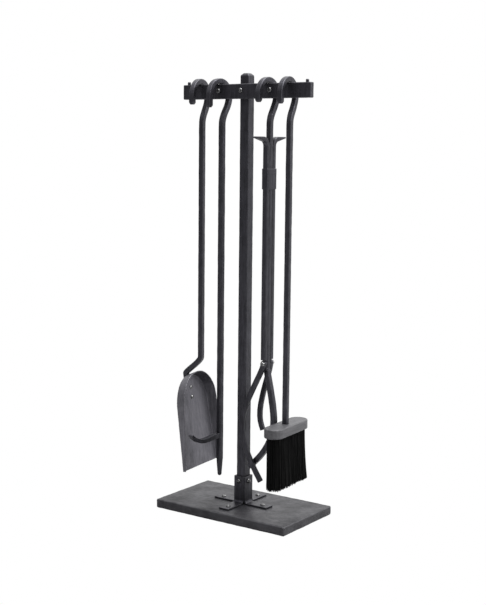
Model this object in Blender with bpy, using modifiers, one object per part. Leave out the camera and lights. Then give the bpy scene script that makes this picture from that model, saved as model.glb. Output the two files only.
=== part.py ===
"""Fireplace tool set: a stand with a shovel, a poker, claw tongs and a brush hung on its crossbar.

Metres, +Z up. The origin is the middle of the base plate's underside, +X runs along the
crossbar, and -Y is the side where the hooks' free ends hang.
"""
import math

import bmesh
import bpy
from mathutils import Matrix, Vector

# Fits
TOUCH = 0.0003            # gap kept between pieces that touch
HOLE_CLEARANCE = 0.0003   # on the radius of a hole round its screw or bolt
SLIDE_CLEARANCE = 0.0004  # between pieces that slide on each other

# Base plate
BASE_WIDTH = 0.290
BASE_DEPTH = 0.163
BASE_THICKNESS = 0.017
BASE_CHAMFER = 0.0020

# Post
STAND_HEIGHT = 0.8145
POST_SIZE = 0.0186
POST_PEAK = 0.004
POST_CHAMFER = 0.0008

# Crossbar
CROSSBAR_LENGTH = 0.278
CROSSBAR_OFFSET = 0.0085
CROSSBAR_HEIGHT = 0.0266
CROSSBAR_THICKNESS = 0.011
CROSSBAR_TOP_BELOW_PEAK = 0.0193
CROSSBAR_CHAMFER = 0.0010
CROSSBAR_BOLT_RISE = 0.0014
OUTER_BOLT_SPACING = 0.112
OUTER_BOLT_MIDDLE = 0.0065
ARM_LENGTH = 0.064
ARM_THICKNESS = 0.005
ARM_HEIGHT = 0.020
STOP_PIN_RADIUS = 0.0030
STOP_PIN_STANDOUT = 0.0055
STOP_PIN_SINK = 0.0080
STOP_PIN_INSET = 0.0100

# Foot brackets
BRACKET_OVERHANG = 0.0029
BRACKET_THICKNESS = 0.003
BRACKET_RISE = 0.0530
BRACKET_REACH = 0.0510
BRACKET_BEND_RADIUS = 0.0045
BRACKET_SCREW_FROM_TOP = 0.0095
BRACKET_SCREW_FROM_END = 0.0150

# Screws and bolts
SCREW_RADIUS = 0.0025
SCREW_HEAD_RADIUS = 0.0044
SCREW_HEAD_HEIGHT = 0.0030
SCREW_BITE = 0.0060
BOLT_RADIUS = 0.0030
BOLT_HEAD_RADIUS = 0.0044
BOLT_HEAD_HEIGHT = 0.0034
NUT_ACROSS_CORNERS = 0.0102
NUT_HEIGHT = 0.0040
BOLT_TAIL = 0.0008

# Bar stock of the four tools
BAR_SIZE = 0.0098
BAR_CORNER = 0.0009

# Hooks: the loop over the crossbar and the bend that brings the shaft back under it
HOOK_RADIUS = 0.0266
HOOK_DROP = 0.052
HOOK_TIP_LENGTH = 0.0036
HOOK_TIP_END = 0.62
SHAFT_SET_BACK = 0.0080
HOOK_STEPS = 20

# Each tool's place along the crossbar, its turn about the vertical, and its hook's straight front leg
SHOVEL_X, SHOVEL_TURN, SHOVEL_LEG = -0.0955, 5.5, 0.0160
POKER_X, POKER_TURN, POKER_LEG = -0.0514, -6.0, 0.0215
TONGS_X, TONGS_TURN, TONGS_LEG = 0.0546, -2.0, 0.0135
BRUSH_X, BRUSH_TURN, BRUSH_LEG = 0.0977, 4.2, 0.0165

# Shovel
SHOVEL_BEND_TOP = 0.2860
SHOVEL_BEND_DROP = 0.0345
SHOVEL_OFFSET = 0.033
SHOVEL_TANG_LENGTH = 0.060
PAN_TILT = 8.5
PAN_LENGTH = 0.175
PAN_WIDTH = 0.118
PAN_ROUND_LENGTH = 0.062
PAN_WALL_BACK = 0.020
PAN_WALL_LIP = 0.006
PAN_WALL_FLARE = 0.30
PAN_SHEET = 0.0015
PAN_ABOVE_BEND = 0.0035
RIVET_RADIUS = 0.0022
RIVET_HEAD_RADIUS = 0.0040
RIVET_HEAD_HEIGHT = 0.0022
RIVET_FROM_TOP = 0.023
RIVET_SPACING = 0.019

# Poker
POKER_TIP_Z = 0.0630
POKER_POINT_LENGTH = 0.034
POKER_POINT_END = 0.62
BARB_Z = 0.141
BARB_REACH = 0.078
BARB_DIP = 0.0060
BARB_RISE = 0.0110
BARB_SIZE = 0.0094
BARB_END = 0.62

# Tongs
TONGS_PIVOT_Z = 0.291
PIVOT_RADIUS = 0.0025
PIVOT_HEAD_RADIUS = 0.0046
PIVOT_HEAD_HEIGHT = 0.0034
GRIP_THICKNESS = 0.0080
GRIP_TOP_Z = 0.7015
GRIP_TONGUE = 0.0022
GRIP_TRAVEL = 0.006
WING_REACH = 0.0300
WING_BEND_RADIUS = 0.0090
WING_END_THICKNESS = 0.0028
COLLAR_TOP_Z = 0.645
COLLAR_HEIGHT = 0.037
COLLAR_WALL = 0.0009
COLLAR_LIP_HEIGHT = 0.0100
COLLAR_LIP = 0.0003
CLAW_WIDTH = 0.0098
CLAW_HEEL_RADIUS = 0.0059
CLAW_BULGE = 0.0475
CLAW_BULGE_DROP = 0.118
CLAW_TIP_DROP = 0.221
CLAW_TIP_OUT = 0.0035
CLAW_STEPS = 11
MIDDLE_CLAW_TURN = 15.0
REAR_CLAW_TURN = 14.0
MIDDLE_CLAW_SHARE = 0.91
REAR_CLAW_SHARE = 0.62
REAR_CLAW_SQUAT = 0.88

# Brush
BRUSH_HEAD_TOP_Z = 0.184
BRUSH_HEAD_LENGTH = 0.126
BRUSH_HEAD_SHIFT = 0.0030
BRUSH_HEAD_WIDTH = 0.036
BRUSH_HEAD_THICKNESS = 0.0175
BRUSH_HEAD_ROUND = 0.0030
BRUSH_SOCKET_DEPTH = 0.010
BRISTLE_INSET = 0.0047
BRISTLE_LENGTH = 0.0965
BRISTLE_FLARE = 0.0045
BRISTLE_LEAN = 0.0050

# Places that follow from the sizes
POST_FRONT = -POST_SIZE / 2
CROSSBAR_BACK = POST_FRONT - TOUCH
CROSSBAR_FRONT = CROSSBAR_BACK - CROSSBAR_THICKNESS
CROSSBAR_Y = (CROSSBAR_BACK + CROSSBAR_FRONT) / 2
CROSSBAR_TOP = STAND_HEIGHT - CROSSBAR_TOP_BELOW_PEAK
CROSSBAR_MIDDLE_Z = CROSSBAR_TOP - CROSSBAR_HEIGHT / 2
CROSSBAR_BOLT_Z = CROSSBAR_MIDDLE_Z + CROSSBAR_BOLT_RISE
HOOK_INNER_RADIUS = HOOK_RADIUS - BAR_SIZE / 2
HOOK_CENTRE_Z = (CROSSBAR_TOP + TOUCH
                 - math.sqrt(HOOK_INNER_RADIUS ** 2 - (CROSSBAR_THICKNESS / 2 + 0.0006) ** 2))
SHAFT_TOP_Z = HOOK_CENTRE_Z - HOOK_DROP
BRACKET_STAND_OFF = POST_SIZE / 2 + TOUCH
BRACKET_FOOT_Z = BASE_THICKNESS + TOUCH
BRACKET_WIDTH = POST_SIZE + BRACKET_OVERHANG
BRACKET_SHIFT = BRACKET_STAND_OFF - TOUCH - BRACKET_WIDTH / 2

IRON = (0.035, 0.035, 0.038, 1.0)
HARDWARE = (0.45, 0.45, 0.46, 1.0)
SHEET = (0.12, 0.12, 0.13, 1.0)
HEAD_PAINT = (0.10, 0.10, 0.11, 1.0)
BRISTLE = (0.01, 0.01, 0.01, 1.0)


def clear_scene():
    for thing in list(bpy.data.objects):
        bpy.data.objects.remove(thing, do_unlink=True)


def make_collection(name):
    group = bpy.data.collections.new(name)
    bpy.context.scene.collection.children.link(group)
    return group


def make_material(name, colour, roughness, metallic):
    material = bpy.data.materials.new(name)
    material.use_nodes = True
    shader = material.node_tree.nodes["Principled BSDF"]
    shader.inputs["Base Color"].default_value = colour
    shader.inputs["Roughness"].default_value = roughness
    shader.inputs["Metallic"].default_value = metallic
    return material


def add_mesh(name, mesh, matrix=None, group=None):
    piece = bpy.data.objects.new(name, mesh)
    if matrix is not None:
        piece.matrix_world = matrix
    (group or PARTS).objects.link(piece)
    return piece


def mesh_from(name, shape, closed=True):
    mesh = bpy.data.meshes.new(name)
    if closed:
        bmesh.ops.recalc_face_normals(shape, faces=shape.faces)
    shape.normal_update()
    shape.to_mesh(mesh)
    shape.free()
    return mesh


def finish(piece, colour, roughness=0.45, metallic=0.8, smooth=False):
    """Give a piece its own material, and smooth its round faces."""
    piece.data.materials.clear()
    piece.data.materials.append(make_material(piece.name, colour, roughness, metallic))
    if smooth:
        piece.data.shade_smooth()
        piece.data.set_sharp_from_angle(angle=math.radians(35))
    return piece


def box_mesh(name, size, centre=(0, 0, 0)):
    shape = bmesh.new()
    bmesh.ops.create_cube(shape, size=1.0)
    bmesh.ops.scale(shape, vec=Vector(size), verts=shape.verts)
    bmesh.ops.translate(shape, vec=Vector(centre), verts=shape.verts)
    return mesh_from(name, shape)


def cylinder_into(shape, radius, low, high, place, sides=16, end_radius=None):
    """Add a cylinder to a bmesh, along local Z from low to high, placed by a matrix."""
    lift = Matrix.Translation((0, 0, (low + high) / 2))
    bmesh.ops.create_cone(shape, cap_ends=True, segments=sides, radius1=radius,
                          radius2=radius if end_radius is None else end_radius,
                          depth=high - low, matrix=place @ lift)


def bevel_piece(piece, width, segments=1):
    bevel = piece.modifiers.new("edges", "BEVEL")
    bevel.width = width
    bevel.segments = segments
    bevel.limit_method = "ANGLE"
    bevel.angle_limit = math.radians(40)
    return bevel


def evaluated_mesh(piece, name):
    bpy.context.view_layer.update()
    graph = bpy.context.evaluated_depsgraph_get()
    mesh = bpy.data.meshes.new_from_object(piece.evaluated_get(graph))
    mesh.name = name
    shape = bmesh.new()
    shape.from_mesh(mesh)
    bmesh.ops.remove_doubles(shape, verts=shape.verts, dist=0.00002)
    bmesh.ops.dissolve_degenerate(shape, edges=shape.edges, dist=0.00001)
    bmesh.ops.recalc_face_normals(shape, faces=shape.faces)
    shape.to_mesh(mesh)
    shape.free()
    return mesh


def make_plain(piece, name):
    """Replace a curve or modified object by its evaluated mesh."""
    mesh = evaluated_mesh(piece, name)
    place = piece.matrix_world.copy()
    old = piece.data
    bpy.data.objects.remove(piece, do_unlink=True)
    if isinstance(old, bpy.types.Curve):
        bpy.data.curves.remove(old)
    return add_mesh(name, mesh, place)


def cut(piece, cutter_mesh, operation="DIFFERENCE"):
    """Cut or join with a Boolean whose other half stays as a hidden guide."""
    guide = add_mesh(piece.name + "_cutter", cutter_mesh, group=CUTTERS)
    guide.hide_render = True
    guide.display_type = "WIRE"
    boolean = piece.modifiers.new("cut", "BOOLEAN")
    boolean.operation = operation
    boolean.solver = "EXACT"
    boolean.object = guide
    return boolean


def section_curve(name, width, height, corner):
    """The outline of a bar's cross-section, with flattened corners."""
    outline = bpy.data.curves.new(name, "CURVE")
    outline.dimensions = "2D"
    spline = outline.splines.new("POLY")
    half_w, half_h = width / 2, height / 2
    points = []
    for x, y, first in ((1, 1, True), (-1, 1, False), (-1, -1, True), (1, -1, False)):
        side = (x * half_w, y * (half_h - corner))
        top = (x * (half_w - corner), y * half_h)
        points += [side, top] if first else [top, side]
    spline.points.add(len(points) - 1)
    for point, (x, y) in zip(spline.points, points):
        point.co = (x, y, 0, 1)
    spline.use_cyclic_u = True
    guide = bpy.data.objects.new(name, outline)
    guide.hide_render = True
    guide.display_type = "WIRE"
    CUTTERS.objects.link(guide)
    return guide


def swept_bar(name, points, section, place, shrink=None):
    """A bar bent along points, which start straight up or down. shrink scales single points."""
    path = bpy.data.curves.new(name, "CURVE")
    path.dimensions = "3D"
    path.twist_mode = "MINIMUM"
    path.bevel_mode = "OBJECT"
    path.bevel_object = section
    path.use_fill_caps = True
    spline = path.splines.new("POLY")
    spline.points.add(len(points) - 1)
    for index, (point, co) in enumerate(zip(spline.points, points)):
        point.co = (*co, 1)
        point.radius = (shrink or {}).get(index, 1.0)
    piece = bpy.data.objects.new(name, path)
    piece.matrix_world = place
    PARTS.objects.link(piece)
    return make_plain(piece, name)


def flat_piece(name, outline, thickness, place):
    """A flat outline in local XY, thickness along local Z and centred on it."""
    curve = bpy.data.curves.new(name, "CURVE")
    curve.dimensions = "2D"
    curve.fill_mode = "BOTH"
    curve.extrude = thickness / 2
    spline = curve.splines.new("POLY")
    spline.points.add(len(outline) - 1)
    for point, (x, y) in zip(spline.points, outline):
        point.co = (x, y, 0, 1)
    spline.use_cyclic_u = True
    piece = bpy.data.objects.new(name, curve)
    piece.matrix_world = place
    PARTS.objects.link(piece)
    return make_plain(piece, name)


def strip_outline(centres, widths):
    """The outline of a strip of changing width that follows a line of points."""
    left, right = [], []
    count = len(centres)
    for index, centre in enumerate(centres):
        before = Vector(centres[max(index - 1, 0)])
        after = Vector(centres[min(index + 1, count - 1)])
        along = (after - before).normalized()
        across = Vector((-along.y, along.x)) * (widths[index] / 2)
        left.append(tuple(Vector(centre) + across))
        right.append(tuple(Vector(centre) - across))
    return left + right[::-1]


def bezier(start, first, second, end, steps):
    """Points along one cubic, without its last point."""
    points = []
    for step in range(steps):
        t = step / steps
        weights = ((1 - t) ** 3, 3 * t * (1 - t) ** 2, 3 * t * t * (1 - t), t ** 3)
        points.append(tuple(sum(w * p[axis] for w, p in zip(weights, (start, first, second, end)))
                            for axis in range(len(start))))
    return points


def tool_place(x, turn):
    """A hung tool's frame: origin on the hook's centre line at floor level, turned about Z."""
    return Matrix.Translation((x, CROSSBAR_Y, 0)) @ Matrix.Rotation(math.radians(turn), 4, "Z")


def hook_points(leg):
    """The hook in local YZ, from its free end over the crossbar to the top of the shaft."""
    points = [(0, -HOOK_RADIUS, HOOK_CENTRE_Z - leg),
              (0, -HOOK_RADIUS, HOOK_CENTRE_Z - leg + HOOK_TIP_LENGTH)]
    for step in range(HOOK_STEPS + 1):
        angle = math.pi * (1 - step / HOOK_STEPS)
        points.append((0, HOOK_RADIUS * math.cos(angle), HOOK_CENTRE_Z + HOOK_RADIUS * math.sin(angle)))
    reach = HOOK_DROP * 0.42
    bend = bezier((0, HOOK_RADIUS, HOOK_CENTRE_Z), (0, HOOK_RADIUS, HOOK_CENTRE_Z - reach),
                  (0, SHAFT_SET_BACK, SHAFT_TOP_Z + reach), (0, SHAFT_SET_BACK, SHAFT_TOP_Z), 12)
    return points + bend[1:] + [(0, SHAFT_SET_BACK, SHAFT_TOP_Z)]


def build_base():
    plate = add_mesh("base_plate", box_mesh("base_plate", (BASE_WIDTH, BASE_DEPTH, BASE_THICKNESS),
                                            (0, 0, BASE_THICKNESS / 2)))
    bevel_piece(plate, BASE_CHAMFER, 2)
    holes = bmesh.new()
    for place in base_screw_places():
        cylinder_into(holes, SCREW_RADIUS + HOLE_CLEARANCE, -SCREW_BITE - TOUCH - BRACKET_THICKNESS,
                      0.01, place)
    cut(plate, mesh_from("base_plate_holes", holes))
    finish(plate, IRON, 0.5, 0.6)


def bracket_turns():
    """The four brackets by name: the angle that turns the front one into each."""
    return (("front", 0), ("right", 90), ("back", 180), ("left", 270))


def bracket_frame(turn):
    """Local X points away from the post, local Y across the bracket, local Z up.

    Each bracket stops at the next one's face and covers the edge of the one before, like a pinwheel.
    """
    return Matrix.Rotation(math.radians(turn - 90), 4, "Z") @ Matrix.Translation((0, BRACKET_SHIFT, 0))


def base_screw_places():
    """Frames at the underside of each foot screw's head, local Z up."""
    reach = BRACKET_STAND_OFF + BRACKET_REACH - BRACKET_SCREW_FROM_END
    top = BRACKET_FOOT_Z + BRACKET_THICKNESS + TOUCH
    return [bracket_frame(turn) @ Matrix.Translation((reach, 0, top)) for name, turn in bracket_turns()]


def post_screw_places():
    """Frames at the underside of each post screw's head, local Z pointing away from the post."""
    out = BRACKET_STAND_OFF + BRACKET_THICKNESS + TOUCH
    up = BRACKET_FOOT_Z + BRACKET_RISE - BRACKET_SCREW_FROM_TOP
    return [bracket_frame(turn) @ Matrix.Translation((out, 0, up)) @ Matrix.Rotation(math.pi / 2, 4, "Y")
            for name, turn in bracket_turns()]


def build_brackets():
    inner, outer = BRACKET_BEND_RADIUS, BRACKET_BEND_RADIUS + BRACKET_THICKNESS
    start = BRACKET_STAND_OFF
    floor = BRACKET_FOOT_Z
    corner = (start + outer, floor + outer)
    outline = [(start, floor + BRACKET_RISE), (start, floor + outer)]
    bend = [math.radians(180 + 90 * step / 4) for step in range(5)]
    outline += [(corner[0] + outer * math.cos(a), corner[1] + outer * math.sin(a)) for a in bend[1:]]
    outline += [(start + BRACKET_REACH, floor), (start + BRACKET_REACH, floor + BRACKET_THICKNESS)]
    outline += [(corner[0] + inner * math.cos(a), corner[1] + inner * math.sin(a)) for a in bend[::-1]]
    outline += [(start + BRACKET_THICKNESS, floor + BRACKET_RISE)]
    stand_up = Matrix.Rotation(math.pi / 2, 4, "X")
    for (name, turn), foot, side in zip(bracket_turns(), base_screw_places(), post_screw_places()):
        piece = flat_piece("bracket_" + name, outline, BRACKET_WIDTH, bracket_frame(turn) @ stand_up)
        holes = bmesh.new()
        for place in (foot, side):
            cylinder_into(holes, SCREW_RADIUS + HOLE_CLEARANCE, -0.008, 0.004, place)
        cut(piece, mesh_from("holes", holes))
        finish(piece, IRON, 0.4, 0.7)


def turned_into(shape, profile, place, sides):
    """Add one turned solid: profile holds (radius, height) pairs, from its lower end up."""
    rings = []
    for radius, height in profile:
        angles = [2 * math.pi * side / sides for side in range(sides)]
        rings.append([shape.verts.new(place @ Vector((radius * math.cos(a), radius * math.sin(a), height)))
                      for a in angles])
    loft_into(shape, rings)
    shape.faces.new(rings[0][::-1])
    shape.faces.new(rings[-1])


def loft_into(shape, rings, closed=False):
    """Faces between rings of vertices that each run anticlockwise seen from the last ring."""
    pairs = list(zip(rings, rings[1:]))
    if closed:
        pairs.append((rings[-1], rings[0]))
    for low, high in pairs:
        for side in range(len(low)):
            after = (side + 1) % len(low)
            shape.faces.new((low[side], low[after], high[after], high[side]))


def fastener_profile(radius, length, head_radius, head_height):
    """A dome-head fastener, from the end of its shank to the top of its head."""
    profile = [(radius * 0.7, -length), (radius, -length + radius * 0.4), (radius, 0), (head_radius, 0)]
    for step in range(1, 5):
        angle = math.radians(19 * step)
        profile.append((head_radius * math.cos(angle), head_height * math.sin(angle) / math.sin(math.radians(76))))
    return profile


def nut_into(shape, low, high, place):
    """A hexagonal nut with a plain hole."""
    count = 12
    rings = []
    for outer, height in ((True, low), (True, high), (False, high), (False, low)):
        ring = []
        for side in range(count):
            angle = 2 * math.pi * side / count
            flat = NUT_ACROSS_CORNERS / 2 * (1 if side % 2 == 0 else math.cos(math.pi / 6))
            radius = flat if outer else BOLT_RADIUS + HOLE_CLEARANCE
            ring.append(shape.verts.new(place @ Vector((radius * math.cos(angle), radius * math.sin(angle), height))))
        rings.append(ring)
    loft_into(shape, rings, closed=True)


def turned_piece(name, profile, place, sides, colour):
    """One turned piece as its own object."""
    shape = bmesh.new()
    turned_into(shape, profile, Matrix.Identity(4), sides)
    return finish(add_mesh(name, mesh_from(name, shape), place), colour, 0.35, 0.9, smooth=True)


def build_bracket_screws():
    profile = fastener_profile(SCREW_RADIUS, BRACKET_THICKNESS + SCREW_BITE, SCREW_HEAD_RADIUS, SCREW_HEAD_HEIGHT)
    for (side, turn), foot, up in zip(bracket_turns(), base_screw_places(), post_screw_places()):
        turned_piece("base_screw_" + side, profile, foot, 16, HARDWARE)
        turned_piece("post_screw_" + side, profile, up, 16, HARDWARE)


def bolt_xs():
    """The crossbar bolts: one through the post and one through each arm."""
    return (OUTER_BOLT_MIDDLE - OUTER_BOLT_SPACING / 2, 0.0, OUTER_BOLT_MIDDLE + OUTER_BOLT_SPACING / 2)


def crossbar_bolt_places():
    """Frames at the underside of each bolt's head, local Z pointing to the front."""
    turn = Matrix.Rotation(math.pi / 2, 4, "X")
    return [Matrix.Translation((x, CROSSBAR_FRONT - TOUCH, CROSSBAR_BOLT_Z)) @ turn for x in bolt_xs()]


def bolt_grip(x):
    """The thickness that a crossbar bolt clamps at x, its gaps included."""
    behind = POST_SIZE if abs(x) < POST_SIZE / 2 else ARM_THICKNESS
    return CROSSBAR_THICKNESS + behind + 3 * TOUCH


def bolt_holes(places):
    """The cutter for crossbar bolts: long enough for the post."""
    holes = bmesh.new()
    for place in places:
        cylinder_into(holes, BOLT_RADIUS + HOLE_CLEARANCE, -0.05, 0.01, place)
    return holes


def build_post():
    body_height = STAND_HEIGHT - POST_PEAK - BASE_THICKNESS - TOUCH
    shape = bmesh.new()
    bmesh.ops.create_cube(shape, size=1.0)
    bmesh.ops.scale(shape, vec=(POST_SIZE, POST_SIZE, body_height), verts=shape.verts)
    bmesh.ops.translate(shape, vec=(0, 0, BASE_THICKNESS + TOUCH + body_height / 2), verts=shape.verts)
    top = max(shape.faces, key=lambda face: face.calc_center_median().z)
    bmesh.ops.inset_individual(shape, faces=[top], thickness=POST_SIZE * 0.30, depth=0.0)
    bmesh.ops.translate(shape, vec=(0, 0, POST_PEAK), verts=top.verts)
    post = add_mesh("post", mesh_from("post", shape))
    bevel_piece(post, POST_CHAMFER)
    holes = bolt_holes(crossbar_bolt_places()[1:2])
    for place in post_screw_places():
        cylinder_into(holes, SCREW_RADIUS + HOLE_CLEARANCE, -BRACKET_THICKNESS - SCREW_BITE - TOUCH, 0.004, place)
    cut(post, mesh_from("post_holes", holes))
    finish(post, IRON, 0.4, 0.7)


def stop_pin_places():
    """Frames on the crossbar's top where the stop pins stand."""
    reach = CROSSBAR_LENGTH / 2 - STOP_PIN_INSET
    return [Matrix.Translation((CROSSBAR_OFFSET + side * reach, CROSSBAR_Y, CROSSBAR_TOP)) for side in (-1, 1)]


def build_crossbar():
    size = (CROSSBAR_LENGTH, CROSSBAR_THICKNESS, CROSSBAR_HEIGHT)
    bar = add_mesh("crossbar", box_mesh("crossbar", size, (CROSSBAR_OFFSET, CROSSBAR_Y, CROSSBAR_MIDDLE_Z)))
    bevel_piece(bar, CROSSBAR_CHAMFER)
    holes = bolt_holes(crossbar_bolt_places())
    for place in stop_pin_places():
        cylinder_into(holes, STOP_PIN_RADIUS + HOLE_CLEARANCE, -STOP_PIN_SINK - TOUCH, 0.01, place)
    cut(bar, mesh_from("crossbar_holes", holes))
    finish(bar, IRON, 0.4, 0.7)
    profile = [(STOP_PIN_RADIUS * 0.8, -STOP_PIN_SINK), (STOP_PIN_RADIUS, -STOP_PIN_SINK + 0.0006),
               (STOP_PIN_RADIUS, STOP_PIN_STANDOUT - 0.0012), (STOP_PIN_RADIUS * 0.86, STOP_PIN_STANDOUT - 0.0004),
               (STOP_PIN_RADIUS * 0.6, STOP_PIN_STANDOUT)]
    for side, place in zip(("left", "right"), stop_pin_places()):
        turned_piece("stop_pin_" + side, profile, place, 16, IRON)


def build_arms():
    reach = POST_SIZE / 2 + TOUCH
    y = CROSSBAR_BACK + TOUCH + ARM_THICKNESS / 2
    places = crossbar_bolt_places()
    for name, side, place in (("arm_left", -1, places[0]), ("arm_right", 1, places[2])):
        middle = side * (reach + ARM_LENGTH / 2)
        size = (ARM_LENGTH, ARM_THICKNESS, ARM_HEIGHT)
        arm = add_mesh(name, box_mesh(name, size, (middle, y, CROSSBAR_MIDDLE_Z)))
        bevel_piece(arm, CROSSBAR_CHAMFER)
        cut(arm, mesh_from("arm_hole", bolt_holes([place])))
        finish(arm, IRON, 0.4, 0.7)


def build_crossbar_bolts():
    for side, x, place in zip(("left", "middle", "right"), bolt_xs(), crossbar_bolt_places()):
        grip = bolt_grip(x)
        profile = fastener_profile(BOLT_RADIUS, grip + NUT_HEIGHT + BOLT_TAIL, BOLT_HEAD_RADIUS, BOLT_HEAD_HEIGHT)
        turned_piece("crossbar_bolt_" + side, profile, place, 18, HARDWARE)
        nut = bmesh.new()
        nut_into(nut, -grip - NUT_HEIGHT, -grip, Matrix.Identity(4))
        finish(add_mesh("crossbar_nut_" + side, mesh_from("crossbar_nut", nut), place), HARDWARE, 0.35, 0.9)


def build_handle(name, place, leg, lower, shrink=None):
    """A hook handle: the shared hook and bend, then the tool's own lower points."""
    points = hook_points(leg) + lower
    scales = {len(points) + index: factor for index, factor in (shrink or {}).items()}
    scales[0] = HOOK_TIP_END
    section = section_curve(name + "_section", BAR_SIZE, BAR_SIZE, BAR_CORNER)
    return swept_bar(name, points, section, place, scales)


def pan_frame():
    """The shovel pan in the shovel's own frame: X across it, Y down its floor, Z out of the floor."""
    tilt = math.radians(PAN_TILT)
    down = Vector((math.sin(tilt), 0, -math.cos(tilt)))
    out = Vector((math.cos(tilt), 0, math.sin(tilt)))
    across = down.cross(out)
    turn = Matrix((across, down, out)).transposed().to_4x4()
    half = BAR_SIZE / 2 / math.cos(tilt)
    top = Vector((-SHOVEL_OFFSET + half, SHAFT_SET_BACK, SHOVEL_BEND_TOP - SHOVEL_BEND_DROP))
    start = top + down * PAN_ABOVE_BEND + out * (TOUCH + PAN_SHEET)
    return Matrix.Translation(start) @ turn


def pan_half_width(down):
    """Half the floor's width at a distance down from its rounded top."""
    narrow = PAN_WIDTH * 0.425
    grow = (PAN_WIDTH / 2 - narrow) * (down / PAN_LENGTH)
    return narrow + grow


def pan_rows():
    """The floor's edge from the lip up one side, round the top and down: (across, down, wall share)."""
    edge = []
    straight = 8
    for step in range(straight):
        down = PAN_LENGTH - (PAN_LENGTH - PAN_ROUND_LENGTH) * step / straight
        edge.append((pan_half_width(down), down))
    for step in range(13):
        angle = math.pi / 2 * step / 12
        edge.append((pan_half_width(PAN_ROUND_LENGTH) * math.cos(angle) ** 0.92 if step < 12 else 0.0,
                     PAN_ROUND_LENGTH * (1 - math.sin(angle))))
    return edge + [(-across, down) for across, down in edge[-2::-1]]


def build_shovel():
    place = tool_place(SHOVEL_X, SHOVEL_TURN)
    tilt = math.radians(PAN_TILT)
    bend_end = SHOVEL_BEND_TOP - SHOVEL_BEND_DROP
    lower = bezier((0, 0, SHOVEL_BEND_TOP), (0, 0, SHOVEL_BEND_TOP - SHOVEL_BEND_DROP * 0.25),
                   (-SHOVEL_OFFSET - math.tan(tilt) * SHOVEL_BEND_DROP * 0.14, 0,
                    bend_end + SHOVEL_BEND_DROP * 0.14), (-SHOVEL_OFFSET, 0, bend_end), 10)
    tang_end = (-SHOVEL_OFFSET + math.sin(tilt) * SHOVEL_TANG_LENGTH, 0,
                bend_end - math.cos(tilt) * SHOVEL_TANG_LENGTH)
    lower += [(-SHOVEL_OFFSET, 0, bend_end), tang_end]
    lower = [(x, SHAFT_SET_BACK, z) for x, y, z in lower]
    handle = build_handle("shovel_handle", place, SHOVEL_LEG, lower)
    frame = place @ pan_frame()
    holes = bmesh.new()
    for index, which in enumerate(("upper", "lower")):
        spot = frame @ Matrix.Translation((0, RIVET_FROM_TOP + RIVET_SPACING * index, 0))
        cylinder_into(holes, RIVET_RADIUS + HOLE_CLEARANCE, -0.03, 0.01, spot)
        profile = fastener_profile(RIVET_RADIUS, PAN_SHEET + BAR_SIZE + 3 * TOUCH, RIVET_HEAD_RADIUS,
                                   RIVET_HEAD_HEIGHT)
        head = profile[3:]
        back = profile[0][1]
        tail = [(radius, back - height) for radius, height in head[::-1]]
        profile = tail + [(RIVET_RADIUS, back), (RIVET_RADIUS, TOUCH)] + [(r, h + TOUCH) for r, h in head]
        turned_piece("shovel_rivet_" + which, profile, spot, 16, HARDWARE)
    hole_mesh = mesh_from("rivet_holes", holes)
    cut(handle, hole_mesh)
    finish(handle, IRON, 0.45, 0.7, smooth=True)
    pan = build_pan(frame)
    cut(pan, hole_mesh.copy())
    finish(pan, SHEET, 0.4, 0.8, smooth=True)


def build_pan(frame):
    """Sheet bent from the rim down the wall to the floor, thickened away from the inside."""
    shape = bmesh.new()
    rows = []
    edge = pan_rows()
    for index, (across, down) in enumerate(edge):
        before, after = edge[max(index - 1, 0)], edge[min(index + 1, len(edge) - 1)]
        along = Vector((after[0] - before[0], after[1] - before[1])).normalized()
        outward = Vector((-along.y, along.x))
        if outward.dot(Vector((across, down - PAN_LENGTH * 0.6))) < 0:
            outward = -outward
        share = min(1.0, max(0.0, (PAN_LENGTH - down) / (PAN_LENGTH * 0.82)))
        height = PAN_WALL_LIP + (PAN_WALL_BACK - PAN_WALL_LIP) * share ** 0.8
        row = []
        for rise in (1.0, 0.5, 0.16, 0.0):
            out = outward * (height * rise * PAN_WALL_FLARE)
            row.append(shape.verts.new((across + out.x, down + out.y if down < PAN_LENGTH else down,
                                        height * rise)))
        inner = outward * -(height * 0.12)
        row.append(shape.verts.new((across + inner.x, down + inner.y if down < PAN_LENGTH else down, 0)))
        row.append(shape.verts.new((0, max(down, PAN_ROUND_LENGTH), 0)))
        rows.append(row)
    for first, second in zip(rows, rows[1:]):
        for index in range(len(first) - 1):
            shape.faces.new((first[index], first[index + 1], second[index + 1], second[index]))
    bmesh.ops.remove_doubles(shape, verts=shape.verts, dist=0.00005)
    bmesh.ops.recalc_face_normals(shape, faces=shape.faces)
    if sum(face.normal.z * face.calc_area() for face in shape.faces) < 0:
        bmesh.ops.reverse_faces(shape, faces=shape.faces)
    pan = add_mesh("shovel_pan", mesh_from("shovel_pan", shape, closed=False), frame)
    sheet = pan.modifiers.new("sheet", "SOLIDIFY")
    sheet.thickness = PAN_SHEET
    sheet.offset = -1
    sheet.use_even_offset = True
    return pan


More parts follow.
